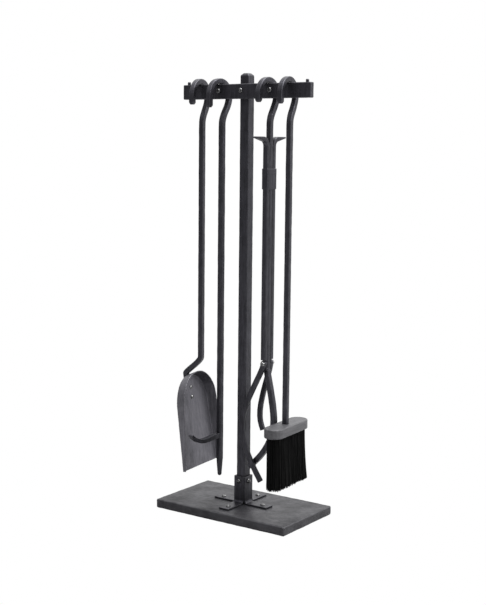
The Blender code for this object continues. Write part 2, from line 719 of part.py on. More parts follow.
def build_poker():
    place = tool_place(POKER_X, POKER_TURN)
    lower = [(0, SHAFT_SET_BACK, POKER_TIP_Z + POKER_POINT_LENGTH),
             (0, SHAFT_SET_BACK, POKER_TIP_Z + 0.0025), (0, SHAFT_SET_BACK, POKER_TIP_Z)]
    shaft = build_handle("poker_shaft", place, POKER_LEG, lower, {-2: POKER_POINT_END, -1: POKER_POINT_END * 0.6})
    finish(shaft, IRON, 0.45, 0.7, smooth=True)
    start = (SHAFT_SET_BACK - BAR_SIZE / 2 - TOUCH, BARB_Z)
    tip = (SHAFT_SET_BACK - BARB_REACH, BARB_Z + BARB_RISE)
    root = (start[0] - 0.004, BARB_Z)
    line = [start] + bezier(root, (root[0] - 0.024, BARB_Z), (tip[0] + 0.026, BARB_Z - BARB_DIP * 2), tip, 13)
    line.append(tip)
    widths = [BARB_SIZE * (1 - (1 - BARB_END) * (index / 14) ** 1.6) for index in range(15)]
    line.append((tip[0] - 0.0020, tip[1] + 0.0026))
    widths.append(BARB_SIZE * BARB_END * 0.5)
    turn = Matrix(((0, 0, 1, 0), (1, 0, 0, 0), (0, 1, 0, 0), (0, 0, 0, 1)))
    barb = flat_piece("poker_barb", strip_outline(line, widths), BARB_SIZE, place @ turn)
    bevel_piece(barb, BAR_CORNER)
    finish(barb, IRON, 0.45, 0.7, smooth=True)


def claw_line():
    """The closed front claw's centre line from the pivot, in X and Z."""
    bulge = (-CLAW_BULGE, -CLAW_BULGE_DROP)
    tip = (-CLAW_TIP_OUT, -CLAW_TIP_DROP)
    upper = bezier((0, 0), (0, -0.014), (bulge[0], bulge[1] + 0.038), bulge, CLAW_STEPS)
    lower = bezier(bulge, (bulge[0], bulge[1] - 0.038), (-0.028, -0.186), tip, CLAW_STEPS)
    return upper + lower + [tip]


def turned_line(line, degrees, share, mirrored):
    """A claw line swung about the pivot and cut short to a share of its points."""
    angle = math.radians(degrees)
    flip = -1 if mirrored else 1
    kept = line[:max(3, round(len(line) * share))]
    return [(math.cos(angle) * x * flip - math.sin(angle) * z, math.sin(angle) * x * flip + math.cos(angle) * z)
            for x, z in kept]


def heel(line, radius):
    """The rounded end round the pivot, as extra points and widths before the line's own."""
    along = (Vector(line[0]) - Vector(line[1])).normalized()
    points, widths = [], []
    for degrees in (82, 62, 40, 20):
        angle = math.radians(degrees)
        points.append(tuple(Vector(line[0]) + along * radius * math.sin(angle)))
        widths.append(2 * radius * math.cos(angle))
    return points, widths


def grip_outline():
    """The front grip bar from the side: local Y forward of the rod's face is negative, Z up."""
    inner = -SLIDE_CLEARANCE
    outer = inner - GRIP_THICKNESS
    steps = 8
    bend = WING_BEND_RADIUS
    centre = (outer - bend, GRIP_TOP_Z - GRIP_THICKNESS - bend)
    reach = -(WING_REACH + GRIP_THICKNESS)
    outside = [(centre[0] + bend * math.cos(math.pi / 2 * step / steps),
                centre[1] + bend * math.sin(math.pi / 2 * step / steps)) for step in range(steps + 1)]
    big = bend + GRIP_THICKNESS
    inside = [(centre[0] + big * math.cos(math.pi / 2 * step / steps),
               centre[1] + big * math.sin(math.pi / 2 * step / steps)) for step in range(steps + 1)]
    tip = [(reach, GRIP_TOP_Z - WING_END_THICKNESS), (reach - 0.0012, GRIP_TOP_Z - WING_END_THICKNESS / 2),
           (reach, GRIP_TOP_Z)]
    shoulder = TONGS_PIVOT_Z + CLAW_HEEL_RADIUS + 2 * SLIDE_CLEARANCE
    tongue = inner - GRIP_TONGUE
    tongue_end = TONGS_PIVOT_Z - GRIP_TRAVEL - PIVOT_RADIUS - SLIDE_CLEARANCE - 0.0030
    foot = [(outer, shoulder), (tongue, shoulder), (tongue, tongue_end), (inner, tongue_end)]
    return inside + tip[::-1] + outside[::-1] + foot


def build_grips(place):
    rod_front = SHAFT_SET_BACK - BAR_SIZE / 2
    rod_back = SHAFT_SET_BACK + BAR_SIZE / 2
    turn = Matrix(((0, 0, 1, 0), (1, 0, 0, 0), (0, 1, 0, 0), (0, 0, 0, 1)))
    outline = grip_outline()
    for name, face, side in (("tongs_grip_front", rod_front, 1), ("tongs_grip_rear", rod_back, -1)):
        shape = [(face + side * y, z) for y, z in outline]
        if side < 0:
            shape = shape[::-1]
        grip = flat_piece(name, shape, BAR_SIZE, place @ turn)
        bevel_piece(grip, BAR_CORNER * 0.6)
        slot = pivot_slot(face, side)
        slot.transform(place)
        cut(grip, mesh_from("slot", slot))
        finish(grip, IRON, 0.45, 0.7, smooth=True)


def pivot_slot(face, side):
    """The slot in a grip's tongue, in which the pivot stays while the grips slide."""
    radius = PIVOT_RADIUS + SLIDE_CLEARANCE
    rings = []
    for y in (face - side * 0.02, face + side * 0.001):
        ring = []
        for step in range(16):
            angle = 2 * math.pi * step / 16 + math.pi / 16
            drop = GRIP_TRAVEL if math.sin(angle) < 0 else 0
            ring.append((radius * math.cos(angle), y, TONGS_PIVOT_Z + radius * math.sin(angle) - drop))
        rings.append(ring)
    shape = bmesh.new()
    made = [[shape.verts.new(point) for point in ring] for ring in rings]
    loft_into(shape, made)
    shape.faces.new(made[0])
    shape.faces.new(made[1])
    bmesh.ops.recalc_face_normals(shape, faces=shape.faces)
    return shape


def rectangle_ring(shape, width, depth, corner, centre_y, z):
    """Eight vertices of a rectangle with cut corners."""
    half_w, half_d = width / 2, depth / 2
    spots = ((half_w, -half_d + corner), (half_w, half_d - corner), (half_w - corner, half_d),
             (-half_w + corner, half_d), (-half_w, half_d - corner), (-half_w, -half_d + corner),
             (-half_w + corner, -half_d), (half_w - corner, -half_d))
    return [shape.verts.new((x, centre_y + y, z)) for x, y in spots]


def build_collar(place):
    width = BAR_SIZE + 2 * TOUCH
    depth = BAR_SIZE + 2 * GRIP_THICKNESS + 2 * SLIDE_CLEARANCE + 2 * TOUCH
    wall = 2 * COLLAR_WALL
    lip = wall + 2 * COLLAR_LIP
    low, high = COLLAR_TOP_Z - COLLAR_HEIGHT, COLLAR_TOP_Z
    lip_low, lip_high = high - 0.0008 - COLLAR_LIP_HEIGHT, high - 0.0008
    shape = bmesh.new()
    steps = ((wall, 0.0009, low), (wall, 0.0009, lip_low), (lip, 0.0014, lip_low + 0.0006),
             (lip, 0.0014, lip_high - 0.0006), (wall, 0.0009, lip_high), (wall, 0.0009, high),
             (0, 0.0003, high), (0, 0.0003, low))
    rings = [rectangle_ring(shape, width + grow, depth + grow, corner, SHAFT_SET_BACK, z)
             for grow, corner, z in steps]
    loft_into(shape, rings, closed=True)
    finish(add_mesh("tongs_collar", mesh_from("tongs_collar", shape), place), IRON, 0.35, 0.8)


def build_claws(place):
    line = claw_line()
    rod_front = SHAFT_SET_BACK - BAR_SIZE / 2
    rod_back = SHAFT_SET_BACK + BAR_SIZE / 2
    tongue = SLIDE_CLEARANCE + GRIP_TONGUE
    claw_thickness = GRIP_THICKNESS - GRIP_TONGUE - SLIDE_CLEARANCE
    out = tongue + SLIDE_CLEARANCE + claw_thickness / 2
    rod_end = TONGS_PIVOT_Z - PIVOT_RADIUS - 0.0050
    stand_up = Matrix.Rotation(math.pi / 2, 4, "X")
    middle_line = turned_line(line, -MIDDLE_CLAW_TURN, MIDDLE_CLAW_SHARE, True)
    cut_at = rod_end - TOUCH - TONGS_PIVOT_Z
    below = [point for point in middle_line if point[1] < cut_at - 0.004]
    middle_line = [(0, cut_at), (0, cut_at - 0.003)] + below
    squat_line = [(x, z * REAR_CLAW_SQUAT) for x, z in line]
    rear_line = turned_line(squat_line, REAR_CLAW_TURN, REAR_CLAW_SHARE, False)
    plans = (("tongs_claw_front", line, rod_front - out, claw_thickness, True),
             ("tongs_claw_middle", middle_line, SHAFT_SET_BACK, BAR_SIZE, False),
             ("tongs_claw_rear", rear_line, rod_back + out, claw_thickness, True))
    for name, points, y, thickness, has_heel in plans:
        extra, wide = heel(points, CLAW_HEEL_RADIUS) if has_heel else ([], [])
        widths = [CLAW_WIDTH] * len(points)
        outline = strip_outline(extra + list(points), wide + widths)
        frame = place @ Matrix.Translation((0, y, TONGS_PIVOT_Z)) @ stand_up
        claw = flat_piece(name, outline, thickness, frame)
        bevel_piece(claw, BAR_CORNER * 0.6)
        if has_heel:
            hole = bmesh.new()
            radius = PIVOT_RADIUS + (SLIDE_CLEARANCE if name == "tongs_claw_front" else HOLE_CLEARANCE)
            cylinder_into(hole, radius, -0.02, 0.02, frame)
            cut(claw, mesh_from("pivot_hole", hole))
        finish(claw, IRON, 0.45, 0.7, smooth=True)


def build_tongs():
    place = tool_place(TONGS_X, TONGS_TURN)
    rod_end = TONGS_PIVOT_Z - PIVOT_RADIUS - 0.0050
    rod = build_handle("tongs_rod", place, TONGS_LEG, [(0, SHAFT_SET_BACK, rod_end)])
    stack = BAR_SIZE / 2 + GRIP_THICKNESS + SLIDE_CLEARANCE
    across = Matrix.Rotation(math.pi / 2, 4, "X")
    head = place @ Matrix.Translation((0, SHAFT_SET_BACK - stack - TOUCH, TONGS_PIVOT_Z)) @ across
    hole = bmesh.new()
    cylinder_into(hole, PIVOT_RADIUS + HOLE_CLEARANCE, -0.05, 0.02, head)
    cut(rod, mesh_from("rod_hole", hole))
    finish(rod, IRON, 0.45, 0.7, smooth=True)
    grip = 2 * stack + 2 * TOUCH
    length = grip + NUT_HEIGHT * 0.8 + BOLT_TAIL
    turned_piece("tongs_pivot_bolt", fastener_profile(PIVOT_RADIUS, length, PIVOT_HEAD_RADIUS, PIVOT_HEAD_HEIGHT),
                 head, 18, HARDWARE)
    nut = bmesh.new()
    nut_into(nut, -grip - NUT_HEIGHT * 0.8, -grip, Matrix.Identity(4))
    finish(add_mesh("tongs_pivot_nut", mesh_from("tongs_pivot_nut", nut), head), HARDWARE, 0.35, 0.9)
    build_grips(place)
    build_collar(place)
    build_claws(place)


def stadium(width, length, steps=8):
    """A rounded-end outline, its length along Y."""
    radius = width / 2
    reach = length / 2 - radius
    points = []
    for end in (1, -1):
        for step in range(steps + 1):
            angle = math.pi * step / steps + (0 if end > 0 else math.pi)
            points.append((radius * math.cos(angle), end * reach + radius * math.sin(angle)))
    return points


def build_brush():
    place = tool_place(BRUSH_X, BRUSH_TURN) @ Matrix.Translation((0, SHAFT_SET_BACK, 0))
    socket_floor = BRUSH_HEAD_TOP_Z - BRUSH_SOCKET_DEPTH
    handle = build_handle("brush_handle", tool_place(BRUSH_X, BRUSH_TURN), BRUSH_LEG,
                          [(0, SHAFT_SET_BACK, socket_floor + TOUCH)])
    finish(handle, IRON, 0.45, 0.7, smooth=True)
    middle = BRUSH_HEAD_TOP_Z - BRUSH_HEAD_THICKNESS / 2
    head = flat_piece("brush_head", stadium(BRUSH_HEAD_WIDTH, BRUSH_HEAD_LENGTH), BRUSH_HEAD_THICKNESS,
                      place @ Matrix.Translation((0, BRUSH_HEAD_SHIFT, middle)))
    bevel_piece(head, BRUSH_HEAD_ROUND, 2)
    inner = BAR_SIZE + 2 * TOUCH
    depth = BRUSH_SOCKET_DEPTH + 0.01
    socket = box_mesh("socket", (inner, inner, depth), (0, 0, socket_floor + depth / 2))
    socket.transform(place)
    cut(head, socket)
    finish(head, HEAD_PAINT, 0.5, 0.1, smooth=True)
    top = BRUSH_HEAD_TOP_Z - BRUSH_HEAD_THICKNESS - TOUCH
    bristles = bmesh.new()
    rings = []
    for share in (1.0, 0.5, 0.0):
        spread = 2 * (BRISTLE_FLARE * share - BRISTLE_INSET)
        outline = stadium(BRUSH_HEAD_WIDTH + spread, BRUSH_HEAD_LENGTH + spread)
        lean = BRUSH_HEAD_SHIFT + BRISTLE_LEAN * share
        rings.append([bristles.verts.new((x, y + lean, top - BRISTLE_LENGTH * share)) for x, y in outline])
    loft_into(bristles, rings)
    bristles.faces.new(rings[0][::-1])
    bristles.faces.new(rings[-1])
    finish(add_mesh("brush_bristles", mesh_from("brush_bristles", bristles), place), BRISTLE, 0.9, 0.0)


clear_scene()
PARTS = make_collection("fireplace_tool_set")
CUTTERS = make_collection("cutters")
build_base()
build_post()
build_brackets()
build_bracket_screws()
build_crossbar()
build_arms()
build_crossbar_bolts()
build_shovel()
build_poker()
build_tongs()
build_brush()
bpy.context.view_layer.update()
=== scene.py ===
"""Fireplace tool set: forged-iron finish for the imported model, a brush with real bristles, and a studio stage.

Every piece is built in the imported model's frame: metres, +Z up, +X along the crossbar.
"""

import math

import bmesh
import bpy
from mathutils import Matrix, Vector


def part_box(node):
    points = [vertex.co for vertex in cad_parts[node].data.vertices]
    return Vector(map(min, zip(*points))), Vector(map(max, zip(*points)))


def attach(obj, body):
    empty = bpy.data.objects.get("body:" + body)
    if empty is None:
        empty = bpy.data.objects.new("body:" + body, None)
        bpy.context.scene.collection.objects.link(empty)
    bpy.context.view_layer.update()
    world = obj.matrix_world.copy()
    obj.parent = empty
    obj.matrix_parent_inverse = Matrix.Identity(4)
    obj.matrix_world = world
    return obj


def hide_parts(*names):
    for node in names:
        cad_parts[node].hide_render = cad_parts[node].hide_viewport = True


bl_info = {
    "name": "Fireplace Tool Set",
    "version": (1, 0, 0),
    "blender": (4, 5, 0),
    "location": "3D View > Sidebar > Hearth",
    "description": "Builds a fireplace tool set with forged iron, stained wood and bristle finishes",
    "category": "Object",
}

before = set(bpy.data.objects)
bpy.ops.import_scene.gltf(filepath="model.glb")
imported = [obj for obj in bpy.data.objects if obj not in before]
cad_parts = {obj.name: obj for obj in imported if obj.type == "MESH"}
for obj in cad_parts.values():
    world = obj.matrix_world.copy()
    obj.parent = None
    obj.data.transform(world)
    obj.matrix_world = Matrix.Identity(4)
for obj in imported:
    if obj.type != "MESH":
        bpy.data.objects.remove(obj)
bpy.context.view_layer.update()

# The finish of each CAD node that becomes a wrought piece: body, record slot, grid size and softening
# steps of its skin, how deep its hammer marks are, and how far it wanders from straight.
WROUGHT = {
    "base_plate": ("stand", "plate_iron", 0.00125, 3, 0.00050, 0.0003),
    "post": ("stand", "forged_iron", 0.0009, 2, 0.00035, 0.0003),
    "crossbar": ("stand", "forged_iron", 0.0007, 2, 0.00028, 0.0002),
    "arm_left": ("stand", "forged_iron", 0.0006, 2, 0.00010, 0.0),
    "arm_right": ("stand", "forged_iron", 0.0006, 2, 0.00010, 0.0),
    "bracket_front": ("stand", "forged_iron", 0.0005, 2, 0.00012, 0.0),
    "bracket_back": ("stand", "forged_iron", 0.0005, 2, 0.00012, 0.0),
    "bracket_left": ("stand", "forged_iron", 0.0005, 2, 0.00012, 0.0),
    "bracket_right": ("stand", "forged_iron", 0.0005, 2, 0.00012, 0.0),
    "stop_pin_left": ("stand", "forged_iron", 0.0004, 3, 0.0, 0.0),
    "stop_pin_right": ("stand", "forged_iron", 0.0004, 3, 0.0, 0.0),
    "shovel_handle": ("shovel", "forged_iron", 0.0007, 3, 0.00035, 0.0004),
    "shovel_pan": ("shovel", "pan_sheet", 0.00082, 5, 0.00008, 0.0004),
    "poker_shaft": ("poker", "forged_iron", 0.0007, 3, 0.00035, 0.0004),
    "poker_barb": ("poker", "forged_iron", 0.0005, 4, 0.00022, 0.0003),
    "tongs_rod": ("tongs", "forged_iron", 0.0007, 3, 0.00025, 0.0),
    "tongs_claw_middle": ("tongs", "forged_iron", 0.0006, 3, 0.00025, 0.0002),
    "tongs_claw_rear": ("tongs", "forged_iron", 0.0005, 3, 0.00018, 0.0),
    "tongs_claw_front": ("tongs_claw", "forged_iron", 0.0005, 3, 0.00018, 0.0),
    "tongs_grip_front": ("tongs_grips", "forged_iron", 0.0006, 3, 0.00015, 0.0),
    "tongs_grip_rear": ("tongs_grips", "forged_iron", 0.0006, 3, 0.00015, 0.0),
    "tongs_collar": ("tongs_grips", "forged_iron", 0.0004, 2, 0.00006, 0.0),
    "brush_handle": ("brush", "forged_iron", 0.0007, 3, 0.00035, 0.0004),
    "brush_head": ("brush", "brush_head", 0.0008, 4, 0.00010, 0.0002),
}

# CAD nodes that keep their shape and take the fasteners' finish
PLAIN_HARDWARE = ("crossbar_nut_left", "crossbar_nut_middle", "crossbar_nut_right", "tongs_pivot_nut",
                  "tongs_pivot_bolt", "shovel_rivet_upper", "shovel_rivet_lower")

# Dome-head fasteners by piece: body, CAD nodes, and which way their heads face
FASTENERS = {
    "bracket_screws": ("stand", {
        "base_screw_front": (0, 0, 1), "base_screw_back": (0, 0, 1),
        "base_screw_left": (0, 0, 1), "base_screw_right": (0, 0, 1),
        "post_screw_front": (0, -1, 0), "post_screw_back": (0, 1, 0),
        "post_screw_left": (-1, 0, 0), "post_screw_right": (1, 0, 0)}),
    "crossbar_bolt_heads": ("stand", {
        "crossbar_bolt_left": (0, -1, 0), "crossbar_bolt_middle": (0, -1, 0), "crossbar_bolt_right": (0, -1, 0)}),
}


# Dome heads: height as a share of the head's radius, shank radius likewise, and the rim's share of the height
HEAD_HEIGHT_SHARE = 0.70
SHANK_SHARE = 0.56
HEAD_RIM_SHARE = 0.22
HEAD_SHARP_ANGLE = math.radians(50)

# Hammer marks: size of one mark and the level at which the surface stays put; and the same for the wander
HAMMER_SIZE, HAMMER_LEVEL = 0.014, 0.35
WANDER_SIZE, WANDER_LEVEL = 0.05, 0.5

# Bristles: seed of their places, colour of their worn tips
BRISTLE_SEED = 11
BRISTLE_TIP = (0.005, 0.005, 0.005)

# Lights: place, what they aim at, and diameter
KEY_LIGHT = ((2.4, 1.0, 1.9), (0, 0, 0.4), 1.6)
TOP_LIGHT = ((0.3, 0.2, 3.2), (0, 0, 0.3), 1.8)
BRIGHT_SIDE = (0.64, 0.77, 0.0)
FLOOR_DROP = 0.0004

# Camera: place in metres; turn, downward pitch and roll in degrees; lens and sensor height in millimetres
CAMERA_PLACE = (1.2554, -1.7917, 0.6847)
CAMERA_TURN, CAMERA_PITCH, CAMERA_ROLL = 35.123, 7.474, 0.564
CAMERA_LENS = 71.03
SENSOR_HEIGHT = 36.0


# ---------------------------------------------------------------- node helpers

def add_node(tree, kind, place, **settings):
    """One node with its properties and socket values set; a socket's value or link goes by name or index."""
    node = tree.nodes.new(kind)
    node.location = place
    sockets = settings.pop("sockets", {})
    for key, value in settings.items():
        setattr(node, key, value)
    for key, value in sockets.items():
        socket = node.inputs[key]
        if isinstance(value, bpy.types.NodeSocket):
            tree.links.new(value, socket)
        else:
            socket.default_value = value
    return node


def group_sockets(tree, inputs, outputs):
    """Sockets of a node group: (name, kind, default) for inputs and (name, kind) for outputs."""
    for name, kind, default in inputs:
        socket = tree.interface.new_socket(name=name, in_out="INPUT", socket_type=kind)
        if default is not None:
            socket.default_value = default
    for name, kind in outputs:
        tree.interface.new_socket(name=name, in_out="OUTPUT", socket_type=kind)


def forge_scale_group():
    """Blackened iron's surface: broad mottling, drawn-out streaks, fine pits and rubbed edges."""
    old = bpy.data.node_groups.get("forge_scale")
    if old:
        return old
    tree = bpy.data.node_groups.new("forge_scale", "ShaderNodeTree")
    group_sockets(tree, [("Place", "NodeSocketVector", None), ("Patch Scale", "NodeSocketFloat", 45.0),
                         ("Streak Stretch", "NodeSocketVector", (1.0, 1.0, 0.12)),
                         ("Streak Scale", "NodeSocketFloat", 260.0), ("Pit Scale", "NodeSocketFloat", 900.0),
                         ("Edge", "NodeSocketFloat", 0.5)],
                  [("Mottle", "NodeSocketFloat"), ("Streak", "NodeSocketFloat"), ("Wear", "NodeSocketFloat"),
                   ("Height", "NodeSocketFloat")])
    source = add_node(tree, "NodeGroupInput", (-900, 0))
    result = add_node(tree, "NodeGroupOutput", (700, 0))
    place = source.outputs["Place"]
    patches = add_node(tree, "ShaderNodeTexNoise", (-600, 260), sockets={
        "Vector": place, "Scale": source.outputs["Patch Scale"], "Detail": 5.0, "Roughness": 0.62})
    mottle = add_node(tree, "ShaderNodeMapRange", (-350, 260), sockets={
        0: patches.outputs["Fac"], 1: 0.34, 2: 0.68, 3: 0.0, 4: 1.0})
    stretch = add_node(tree, "ShaderNodeVectorMath", (-600, 20), operation="MULTIPLY", sockets={
        0: place, 1: source.outputs["Streak Stretch"]})
    drawn = add_node(tree, "ShaderNodeTexNoise", (-400, 20), sockets={
        "Vector": stretch.outputs[0], "Scale": source.outputs["Streak Scale"], "Detail": 4.0, "Roughness": 0.6})
    streak = add_node(tree, "ShaderNodeMapRange", (-150, 20), sockets={
        0: drawn.outputs["Fac"], 1: 0.36, 2: 0.66, 3: 0.0, 4: 1.0})
    pits = add_node(tree, "ShaderNodeTexNoise", (-400, -220), sockets={
        "Vector": place, "Scale": source.outputs["Pit Scale"], "Detail": 3.0, "Roughness": 0.7})
    edge = add_node(tree, "ShaderNodeMapRange", (-400, -440), sockets={
        0: source.outputs["Edge"], 1: 0.515, 2: 0.60, 3: 0.0, 4: 1.0})
    rubbed = add_node(tree, "ShaderNodeMath", (-150, -440), operation="MULTIPLY", sockets={
        0: edge.outputs[0], 1: mottle.outputs[0]})
    wear = add_node(tree, "ShaderNodeMath", (60, -440), operation="MULTIPLY_ADD", use_clamp=True, sockets={
        0: edge.outputs[0], 1: 0.35, 2: rubbed.outputs[0]})
    coarse = add_node(tree, "ShaderNodeMath", (60, -120), operation="MULTIPLY_ADD", sockets={
        0: pits.outputs["Fac"], 1: 0.45, 2: streak.outputs[0]})
    height = add_node(tree, "ShaderNodeMath", (260, -60), operation="MULTIPLY_ADD", sockets={
        0: mottle.outputs[0], 1: 0.6, 2: coarse.outputs[0]})
    for name, node in (("Mottle", mottle), ("Streak", streak), ("Wear", wear), ("Height", height)):
        tree.links.new(node.outputs[0], result.inputs[name])
    return tree


def blend_colour(tree, place, factor, first, second):
    mix = add_node(tree, "ShaderNodeMix", place, data_type="RGBA", sockets={0: factor, 6: first, 7: second})
    return mix.outputs[2]


def fresh_material(name):
    material = bpy.data.materials.new(name)
    material.use_nodes = True
    tree = material.node_tree
    for node in list(tree.nodes):
        tree.nodes.remove(node)
    output = add_node(tree, "ShaderNodeOutputMaterial", (900, 0))
    shader = add_node(tree, "ShaderNodeBsdfPrincipled", (600, 0))
    tree.links.new(shader.outputs[0], output.inputs[0])
    return material, tree, shader


def iron_material(name, dark, light, bare, metallic, rough, stretch, patch, streak_share, bump, sheen_coat=0.0):
    """Blackened or bare iron. dark and light are the scale's two tones, bare the metal at rubbed edges."""
    material, tree, shader = fresh_material(name)
    coords = add_node(tree, "ShaderNodeTexCoord", (-900, 0))
    geometry = add_node(tree, "ShaderNodeNewGeometry", (-900, -300))
    scale = add_node(tree, "ShaderNodeGroup", (-600, 0), node_tree=forge_scale_group())
    tree.links.new(coords.outputs["Object"], scale.inputs["Place"])
    tree.links.new(geometry.outputs["Pointiness"], scale.inputs["Edge"])
    scale.inputs["Patch Scale"].default_value = patch
    scale.inputs["Streak Stretch"].default_value = stretch
    share = add_node(tree, "ShaderNodeMix", (-350, 120), data_type="FLOAT", sockets={
        0: streak_share, 2: scale.outputs["Mottle"], 3: scale.outputs["Streak"]})
    tone = blend_colour(tree, (-100, 160), share.outputs[0], (*dark, 1), (*light, 1))
    worn = add_node(tree, "ShaderNodeMath", (-350, -120), operation="MULTIPLY", sockets={
        0: scale.outputs["Wear"], 1: 0.55})
    colour = blend_colour(tree, (150, 160), worn.outputs[0], tone, (*bare, 1))
    polish = add_node(tree, "ShaderNodeMapRange", (150, -80), sockets={
        0: share.outputs[0], 1: 0.0, 2: 1.0, 3: rough[1], 4: rough[0]})
    relief = add_node(tree, "ShaderNodeBump", (350, -260), sockets={
        "Strength": bump, "Distance": 0.0004, "Height": scale.outputs["Height"]})
    tree.links.new(colour, shader.inputs["Base Color"])
    tree.links.new(polish.outputs[0], shader.inputs["Roughness"])
    tree.links.new(relief.outputs[0], shader.inputs["Normal"])
    shader.inputs["Metallic"].default_value = metallic
    shader.inputs["Coat Weight"].default_value = sheen_coat
    shader.inputs["Coat Roughness"].default_value = 0.35
    return material


def wood_material(name, dark, light):
    """Grey-black stained wood with its grain along the brush head."""
    material, tree, shader = fresh_material(name)
    coords = add_node(tree, "ShaderNodeTexCoord", (-1100, 0))
    along = add_node(tree, "ShaderNodeMapping", (-900, 0), sockets={
        "Vector": coords.outputs["Object"], "Scale": (1.0, 0.09, 1.0)})
    grain = add_node(tree, "ShaderNodeTexNoise", (-650, 120), sockets={
        "Vector": along.outputs[0], "Scale": 420.0, "Detail": 6.0, "Roughness": 0.65, "Distortion": 0.4})
    bands = add_node(tree, "ShaderNodeTexNoise", (-650, -120), sockets={
        "Vector": along.outputs[0], "Scale": 130.0, "Detail": 3.0})
    both = add_node(tree, "ShaderNodeMix", (-400, 60), data_type="FLOAT", sockets={
        0: 0.4, 2: grain.outputs["Fac"], 3: bands.outputs["Fac"]})
    spread = add_node(tree, "ShaderNodeMapRange", (-200, 60), sockets={
        0: both.outputs[0], 1: 0.36, 2: 0.64, 3: 0.0, 4: 1.0})
    colour = blend_colour(tree, (50, 120), spread.outputs[0], (*dark, 1), (*light, 1))
    rough = add_node(tree, "ShaderNodeMapRange", (50, -100), sockets={
        0: spread.outputs[0], 1: 0.0, 2: 1.0, 3: 0.62, 4: 0.46})
    relief = add_node(tree, "ShaderNodeBump", (300, -200), sockets={
        "Strength": 0.35, "Distance": 0.0003, "Height": spread.outputs[0]})
    tree.links.new(colour, shader.inputs["Base Color"])
    tree.links.new(rough.outputs[0], shader.inputs["Roughness"])
    tree.links.new(relief.outputs[0], shader.inputs["Normal"])
    return material


def bristle_material(name, root, tip):
    """Coarse black fibre, a little greyer where it is worn towards the tips."""
    material, tree, shader = fresh_material(name)
    coords = add_node(tree, "ShaderNodeTexCoord", (-900, 0))
    split = add_node(tree, "ShaderNodeSeparateXYZ", (-700, 0), sockets={0: coords.outputs["Object"]})
    low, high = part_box("brush_bristles")
    worn = add_node(tree, "ShaderNodeMapRange", (-500, 0), sockets={
        0: split.outputs[2], 1: high[2], 2: low[2], 3: 0.0, 4: 0.6})
    fibre = add_node(tree, "ShaderNodeTexNoise", (-500, -220), sockets={
        "Vector": coords.outputs["Object"], "Scale": 700.0, "Detail": 2.0})
    mix = add_node(tree, "ShaderNodeMath", (-250, -60), operation="MULTIPLY", use_clamp=True, sockets={
        0: worn.outputs[0], 1: fibre.outputs["Fac"]})
    colour = blend_colour(tree, (0, 0), mix.outputs[0], (*root, 1), (*tip, 1))
    tree.links.new(colour, shader.inputs["Base Color"])
    shader.inputs["Roughness"].default_value = 0.6
    shader.inputs["Specular IOR Level"].default_value = 0.06
    return material


def finish_for(slot):
    """The material of a record slot, made once from the tool set's settings."""
    ready = bpy.data.materials.get("finish_" + slot)
    if ready:
        return ready
    look = bpy.context.scene.hearth_looks
    name = "finish_" + slot
    dark, light, bare = tuple(look.iron_dark), tuple(look.iron_light), tuple(look.iron_bare)
    if slot == "forged_iron":
        return iron_material(name, dark, light, bare, 0.80, (0.34, 0.50), (1, 1, 0.10), 60.0, 0.55, 0.30)
    if slot == "plate_iron":
        plate_dark, plate_light = tuple(look.plate_dark), tuple(look.plate_light)
        return iron_material(name, plate_dark, plate_light, bare, 0.70, (0.42, 0.58), (0.45, 0.6, 1), 26.0, 0.25, 0.45)
    if slot == "pan_sheet":
        pan_dark, pan_light = tuple(look.pan_dark), tuple(look.pan_light)
        return iron_material(name, pan_dark, pan_light, bare, 0.85, (0.36, 0.52), (1, 1, 0.06), 26.0, 0.5, 0.22)
    if slot == "hardware":
        steel = tuple(look.steel)
        return iron_material(name, tuple(0.6 * v for v in steel), steel, (0.5, 0.5, 0.5), 0.9, (0.16, 0.30),
                             (1, 1, 1), 300.0, 0.4, 0.1)
    if slot == "brush_head":
        return wood_material(name, tuple(look.wood_dark), tuple(look.wood_light))
    return bristle_material(name, tuple(look.bristle), BRISTLE_TIP)


# ---------------------------------------------------------------- shaping helpers

def show(name, mesh):
    piece = bpy.data.objects.new(name, mesh)
    bpy.context.scene.collection.objects.link(piece)
    return piece


def node_copy(node):
    """A CAD node's mesh with its loose triangles joined."""
    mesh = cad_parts[node].data.copy()
    shape = bmesh.new()
    shape.from_mesh(mesh)
    bmesh.ops.remove_doubles(shape, verts=shape.verts, dist=0.00001)
    shape.to_mesh(mesh)
    shape.free()
    return mesh


def settle(piece):
    """The piece's evaluated mesh takes the place of its modifiers."""
    bpy.context.view_layer.update()
    graph = bpy.context.evaluated_depsgraph_get()
    mesh = bpy.data.meshes.new_from_object(piece.evaluated_get(graph))
    piece.modifiers.clear()
    piece.data = mesh
    return piece


def mark_texture(name, kind, size):
    texture = bpy.data.textures.get(name)
    if texture is None:
        texture = bpy.data.textures.new(name, kind)
        texture.noise_scale = size
    return texture


def displace(piece, texture, depth, mid_level):
    push = piece.modifiers.new("marks", "DISPLACE")
    push.texture = texture
    push.texture_coords = "LOCAL"
    push.direction = "NORMAL"
    push.strength = depth
    push.mid_level = mid_level


def wrought_piece(node):
    """A CAD node as forged metal: an even skin, softened edges, hammer marks and a slight wander."""
    body, slot, grid, soften, dents, wander = WROUGHT[node]
    piece = show("wrought_" + node, node_copy(node))
    skin = piece.modifiers.new("skin", "REMESH")
    skin.mode = "VOXEL"
    skin.voxel_size = grid * 1.0
    skin.use_smooth_shade = True
    soft = piece.modifiers.new("soft edges", "SMOOTH")
    soft.factor = 0.5
    soft.iterations = soften
    if dents:
        displace(piece, mark_texture("hammer_marks", "VORONOI", HAMMER_SIZE), dents, HAMMER_LEVEL)
    if wander:
        displace(piece, mark_texture("hand_wander", "CLOUDS", WANDER_SIZE), wander, WANDER_LEVEL)
    settle(piece)
    piece.data.materials.clear()
    piece.data.materials.append(finish_for(slot))
    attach(piece, body)
    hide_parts(node)
    return piece


